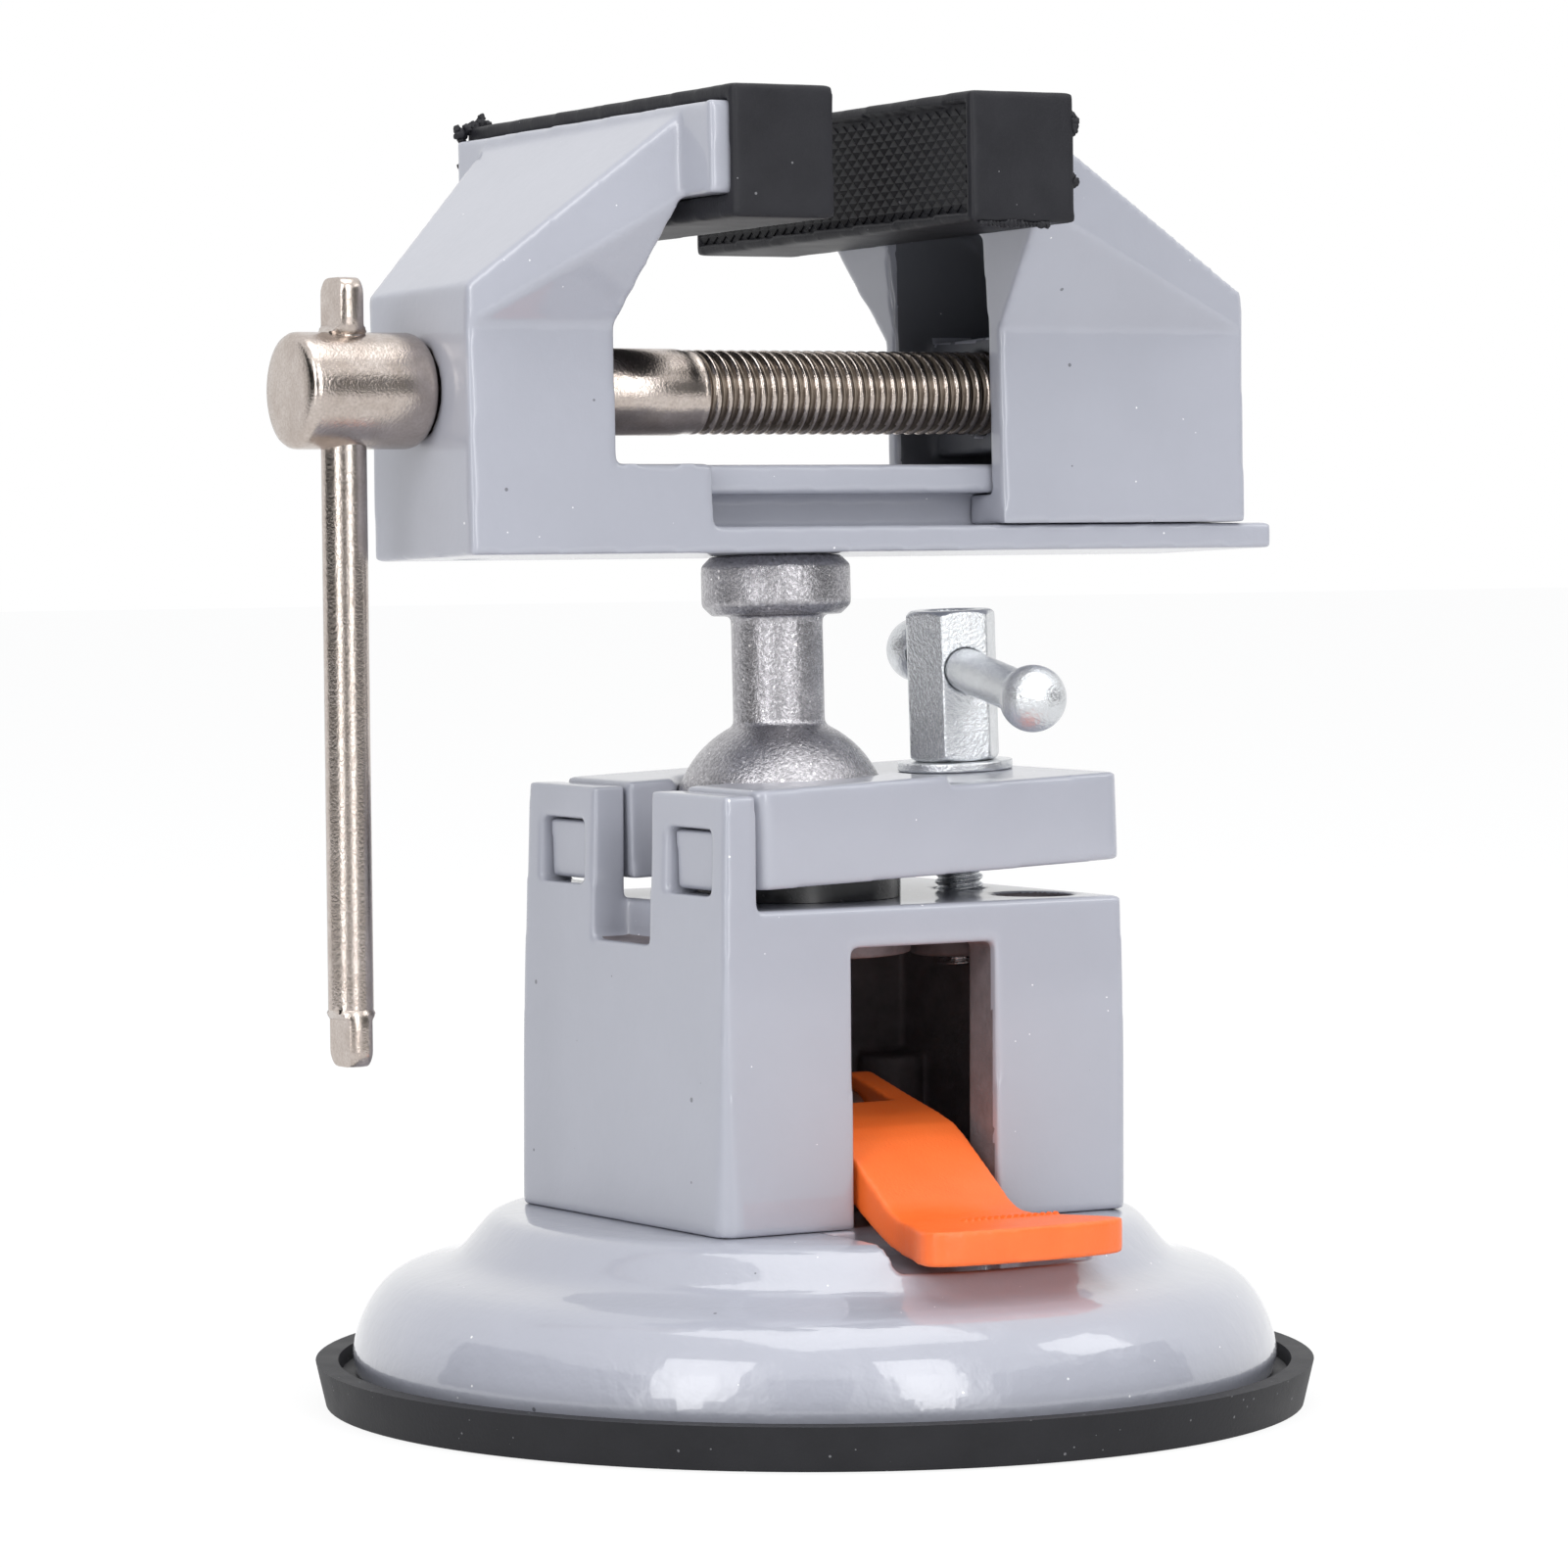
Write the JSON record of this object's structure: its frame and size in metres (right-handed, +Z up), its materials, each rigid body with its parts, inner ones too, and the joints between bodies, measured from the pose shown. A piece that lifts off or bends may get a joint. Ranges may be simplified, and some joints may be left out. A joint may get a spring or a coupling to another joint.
{
  "type": "suction base vise",
  "caption": "Small bench vise on a lever suction base, with a clamped ball joint under the head, a T-rail moving jaw on a screw, and rubber jaw caps.",
  "frame": {"origin": "centre of the suction rim, on the plane it seals against", "axes": "+X along the vise screw towards the moving jaw, +Y away from the clamp lever, +Z up"},
  "size_m": [0.1285, 0.12, 0.1556],
  "materials": {
    "rubber": "black moulded rubber",
    "cast_paint": "satin grey powder coat on a casting",
    "gloss_paint": "glossy grey enamel on a casting",
    "lever_plastic": "orange moulded plastic",
    "bare_cast": "bare tumbled casting",
    "seat_metal": "dark smooth metal",
    "zinc_plate": "bright zinc plate",
    "nickel_plate": "warm nickel plate",
    "plain_steel": "plain steel"
  },
  "bodies": {
    "base": {"suction_pad": "rubber", "base_shell": "gloss_paint", "tower": "cast_paint", "tower_screws": "plain_steel", "clamp_stud": "zinc_plate"},
    "stud": {"pull_stud": "plain_steel", "stud_plate": "plain_steel", "lever_pin": "plain_steel"},
    "lever": {"clamp_lever": "lever_plastic"},
    "seat": {"ball_seat": "seat_metal"},
    "ball": {"ball_stud": "bare_cast", "head_screw": "plain_steel"},
    "head": {"fixed_jaw": "cast_paint", "fixed_jaw_pad": "rubber", "screw_retainer": "plain_steel"},
    "jaw": {"moving_jaw": "cast_paint", "moving_jaw_pad": "rubber"},
    "screw": {"vise_screw": "nickel_plate"},
    "handle": {"vise_handle": "nickel_plate"},
    "plate": {"clamp_plate": "cast_paint"},
    "washer": {"clamp_washer": "zinc_plate"},
    "nut": {"clamp_nut": "zinc_plate"},
    "bar": {"clamp_bar": "zinc_plate", "clamp_bar_ends": "zinc_plate"}
  },
  "joints": [
    {"name": "stud_slide", "type": "slide", "parent": "base", "child": "stud", "axis": [0, 0, 1], "range_m": [-0.003, 0], "deforming": ["suction_pad"]},
    {"name": "lever_turn", "type": "hinge", "parent": "stud", "child": "lever", "pos_m": [0, 0, 0.032], "axis": [-1, 0, 0], "range_deg": [0, 45]},
    {"name": "ball_swivel", "type": "hinge", "parent": "base", "child": "seat", "pos_m": [-0.00455, 0, 0.0694], "axis": [0, 0, 1], "continuous": true},
    {"name": "ball_tilt", "type": "hinge", "parent": "seat", "child": "ball", "pos_m": [-0.00455, 0, 0.0694], "axis": [1, 0, 0], "range_deg": [-34, 28]},
    {"name": "head_turn", "type": "hinge", "parent": "ball", "child": "head", "pos_m": [-0.00455, 0, 0.0694], "axis": [0.0022, 0.0422, 0.9991], "continuous": true},
    {"name": "screw_turn", "type": "hinge", "parent": "head", "child": "screw", "pos_m": [-0.00444, 0.00217, 0.12085], "axis": [-0.9986, 0.052, 0], "range_deg": [-4372, 7204]},
    {"name": "jaw_slide", "type": "slide", "parent": "head", "child": "jaw", "axis": [0.9986, -0.052, 0], "range_m": [-0.0182, 0.03]},
    {"name": "handle_slide", "type": "slide", "parent": "screw", "child": "handle", "axis": [0.0008, 0.016, 0.9999], "range_m": [0, 0.065]},
    {"name": "nut_turn", "type": "hinge", "parent": "washer", "child": "nut", "pos_m": [0.02059, 0, 0.07637], "axis": [-0.0384, 0, 0.9993], "range_deg": [0, 250]},
    {"name": "washer_slide", "type": "slide", "parent": "base", "child": "washer", "axis": [-0.0384, 0, 0.9993], "range_m": [0, 0.00069]},
    {"name": "plate_tilt", "type": "hinge", "parent": "base", "child": "plate", "pos_m": [-0.0235, 0, 0.0662], "axis": [0, -1, 0], "range_deg": [-0.01, 0.8]},
    {"name": "bar_slide", "type": "slide", "parent": "nut", "child": "bar", "axis": [0.2497, 0.9613, 0.1159], "range_m": [-0.0034, 0.019]}
  ],
  "couplings": [
    {"joint": "lever_turn", "follows": "stud_slide", "rad_per_m": -261.79},
    {"joint": "screw_turn", "follows": "jaw_slide", "rad_per_m": 4188.8},
    {"joint": "nut_turn", "follows": "washer_slide", "rad_per_m": 6283.2},
    {"joint": "plate_tilt", "follows": "washer_slide", "rad_per_m": 18.85}
  ]
}
